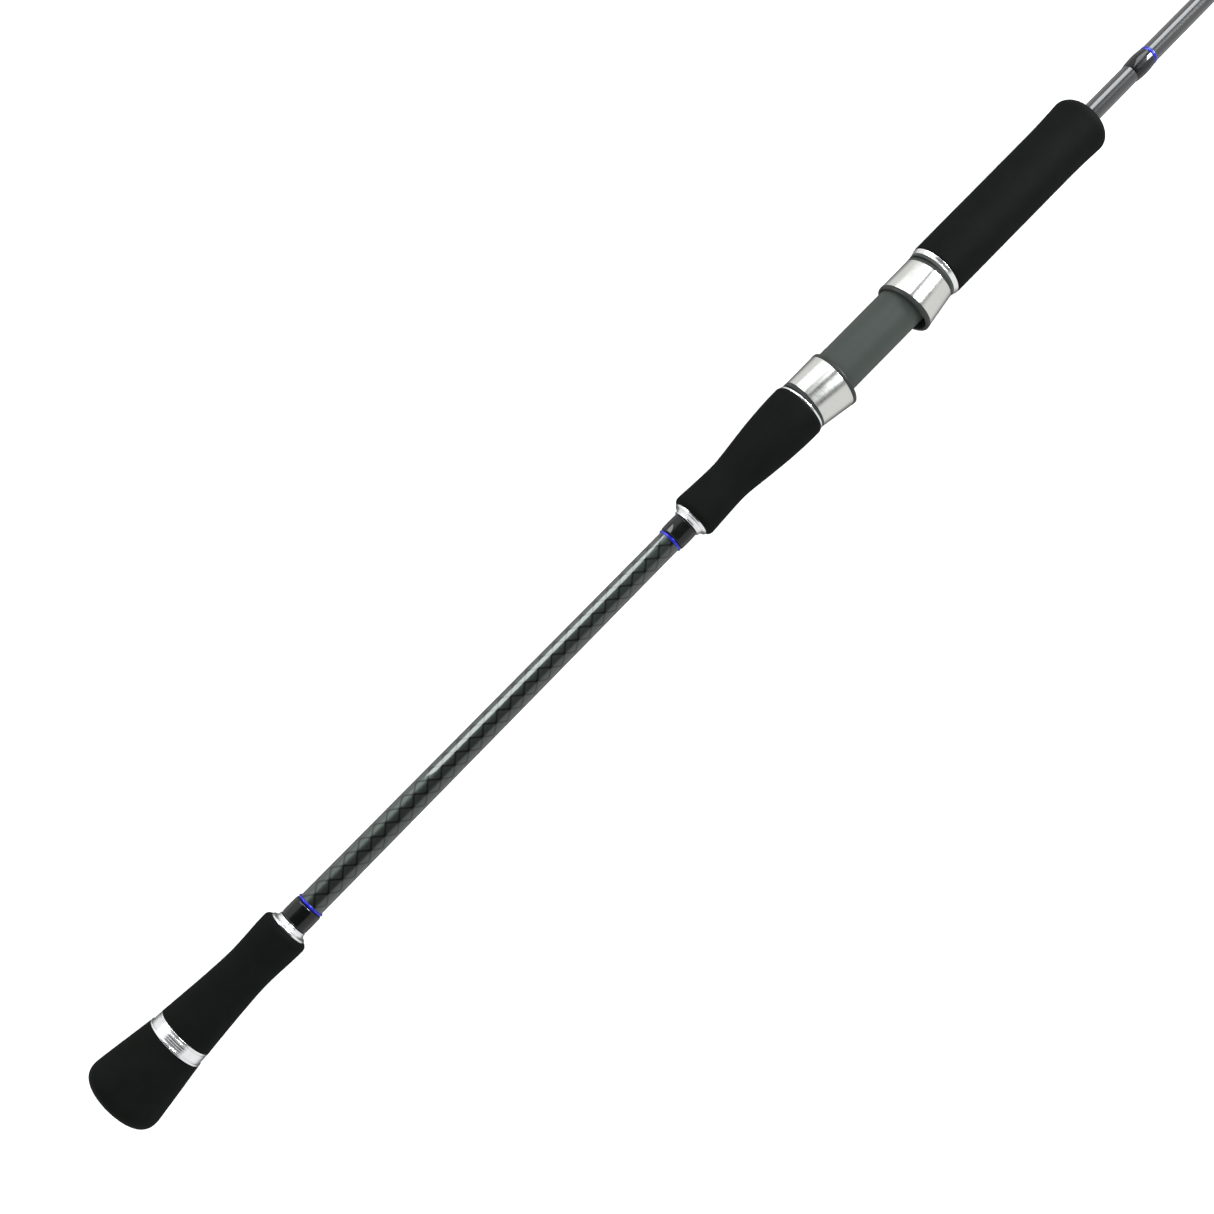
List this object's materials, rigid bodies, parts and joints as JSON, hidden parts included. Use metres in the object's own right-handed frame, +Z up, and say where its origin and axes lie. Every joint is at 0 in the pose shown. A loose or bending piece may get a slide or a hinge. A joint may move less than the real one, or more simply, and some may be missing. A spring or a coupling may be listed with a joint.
{
  "type": "spinning rod",
  "caption": "Heavy one-piece spinning rod: long handle with foam grips and a waisted butt, tubular reel seat tightened by turning the fore grip, tapered blank, double-foot ring guides.",
  "frame": {"origin": "on the blank's axis, at the middle of the reel seat between the two hood mouths", "axes": "+X along the blank from butt to tip; the reel foot and the line guides are on the -Y side; +Z is up when the rod lies on its side"},
  "size_m": [1.8301, 0.0606, 0.0382],
  "materials": {
    "carbon_blank": "gloss clear-coated carbon",
    "woven_carbon": "gloss clear coat over woven carbon",
    "eva_foam": "matte closed-cell foam",
    "polished_aluminium": "polished",
    "brushed_stainless": "satin",
    "guide_frame_steel": "polished",
    "guide_ceramic": "polished",
    "black_thread": "gloss epoxy over thread",
    "blue_thread": "gloss epoxy over metallic thread",
    "seat_grey_nylon": "satin",
    "dark_nylon": "satin",
    "arbor_foam": "matte"
  },
  "bodies": {
    "rod": {"blank": "carbon_blank", "woven_layer": "woven_carbon", "butt_knob": "eva_foam", "butt_ring": "polished_aluminium", "lower_grip": "eva_foam", "lower_check": "polished_aluminium", "lower_wrap": "black_thread", "lower_band": "blue_thread", "rear_band": "blue_thread", "rear_wrap": "black_thread", "rear_check": "polished_aluminium", "rear_grip": "eva_foam", "seat_ring": "polished_aluminium", "seat_arbors": "arbor_foam", "seat_body": "seat_grey_nylon", "seat_thread": "seat_grey_nylon", "rear_hood_shell": "brushed_stainless", "rear_hood_liner": "dark_nylon", "stopper_wrap": "black_thread", "stopper_band": "blue_thread", "guide_1_frame": "guide_frame_steel", "guide_1_ring": "guide_ceramic", "guide_1_wraps": "black_thread", "guide_1_bands": "blue_thread", "guide_2_frame": "guide_frame_steel", "guide_2_ring": "guide_ceramic", "guide_2_wraps": "black_thread", "guide_2_bands": "blue_thread", "guide_3_frame": "guide_frame_steel", "guide_3_ring": "guide_ceramic", "guide_3_wraps": "black_thread", "guide_3_bands": "blue_thread", "guide_4_frame": "guide_frame_steel", "guide_4_ring": "guide_ceramic", "guide_4_wraps": "black_thread", "guide_4_bands": "blue_thread", "guide_5_frame": "guide_frame_steel", "guide_5_ring": "guide_ceramic", "guide_5_wraps": "black_thread", "guide_5_bands": "blue_thread", "guide_6_frame": "guide_frame_steel", "guide_6_ring": "guide_ceramic", "guide_6_wraps": "black_thread", "guide_6_bands": "blue_thread", "guide_7_frame": "guide_frame_steel", "guide_7_ring": "guide_ceramic", "guide_7_wraps": "black_thread", "guide_7_bands": "blue_thread", "tip_frame": "guide_frame_steel", "tip_ring": "guide_ceramic", "tip_wrap": "black_thread", "tip_band": "blue_thread"},
    "hood": {"front_hood_shell": "brushed_stainless", "front_hood_liner": "dark_nylon"},
    "grip": {"lock_nut": "dark_nylon", "nut_ring": "polished_aluminium", "fore_grip": "eva_foam"}
  },
  "joints": [
    {"name": "hood_slide", "type": "slide", "parent": "rod", "child": "hood", "axis": [1, 0, 0], "range_m": [-0.006, 0.024]},
    {"name": "grip_screw", "type": "hinge", "parent": "hood", "child": "grip", "pos_m": [0, 0, 0], "axis": [1, 0, 0], "range_deg": [-725, 2885]}
  ],
  "couplings": [
    {"joint": "grip_screw", "follows": "hood_slide", "rad_per_m": 2094.4}
  ]
}
